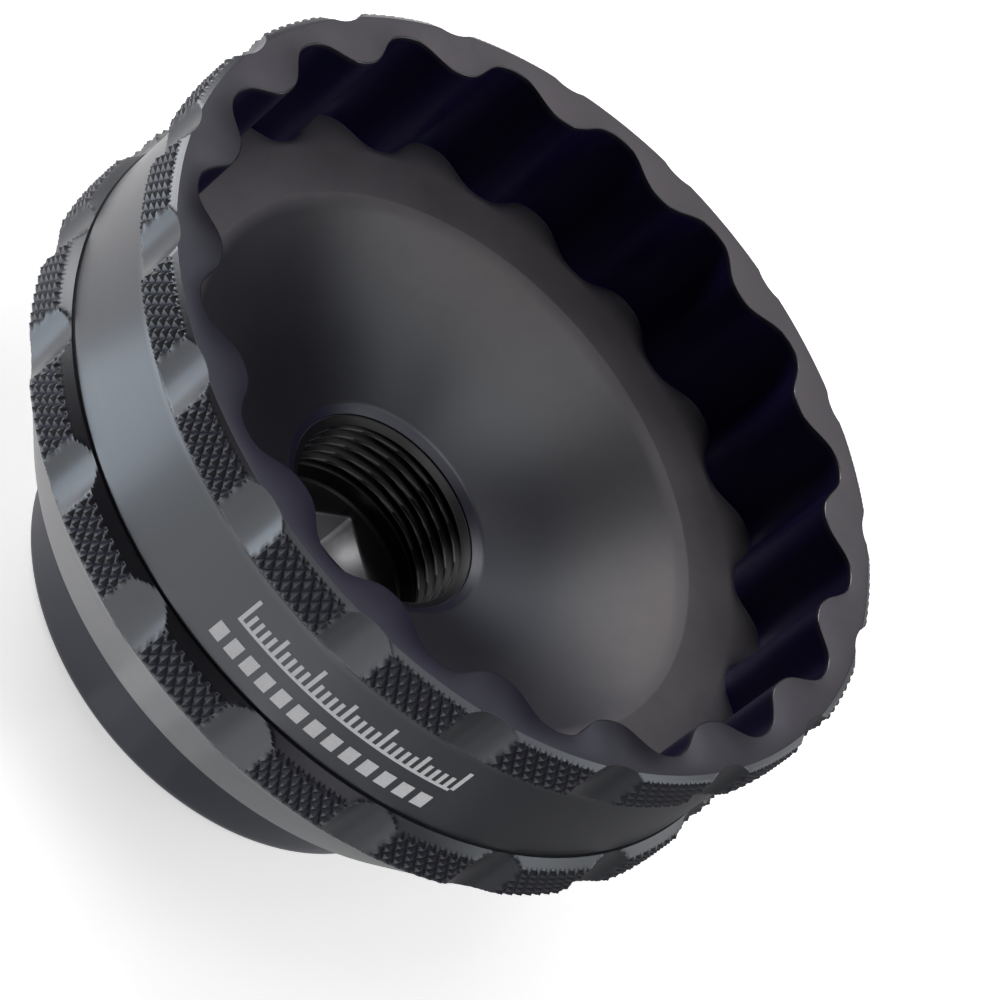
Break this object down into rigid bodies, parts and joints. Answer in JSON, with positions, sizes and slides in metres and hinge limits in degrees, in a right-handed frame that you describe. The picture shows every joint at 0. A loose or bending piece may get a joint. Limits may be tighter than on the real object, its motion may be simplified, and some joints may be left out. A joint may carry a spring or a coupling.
{
  "type": "bottom bracket cup socket",
  "caption": "Round splined socket for bottom bracket cups: toothed mouth with a dished floor, two knurled grip rings, threaded centre bore and a square drive at the back.",
  "frame": {"origin": "centre of the flat rear face of the neck, on the tool axis", "axes": "+Z along the tool axis towards the splined mouth, +X through the middle of one spline notch"},
  "size_m": [0.0684, 0.0682, 0.0384],
  "materials": {
    "black_anodised_head": "satin black anodised",
    "black_anodised_hub": "satin black anodised",
    "black_oxide_steel": "satin black oxide, bare at worn edges",
    "pin_steel": "ground",
    "spring_steel": "phosphated",
    "washer_polymer": "matt black",
    "seal_rubber": "matt"
  },
  "bodies": {
    "hub": {"drive_hub": "black_anodised_hub", "drive_insert": "black_oxide_steel", "key_pin_1": "pin_steel", "key_pin_2": "pin_steel", "key_pin_3": "pin_steel", "retaining_ring": "spring_steel"},
    "seam": {"seam_washer": "washer_polymer"},
    "head": {"splined_socket": "black_anodised_head", "spigot_seal": "seal_rubber"}
  },
  "joints": [
    {"name": "seam_rise", "type": "slide", "parent": "hub", "child": "seam", "axis": [0, 0, 1], "range_m": [0, 0.003]},
    {"name": "head_turn", "type": "hinge", "parent": "seam", "child": "head", "pos_m": [0, 0, 0.0213], "axis": [0, 0, 1], "range_deg": [0, 720]}
  ],
  "couplings": [
    {"joint": "seam_rise", "follows": "head_turn", "m_per_rad": 0.00023873}
  ]
}
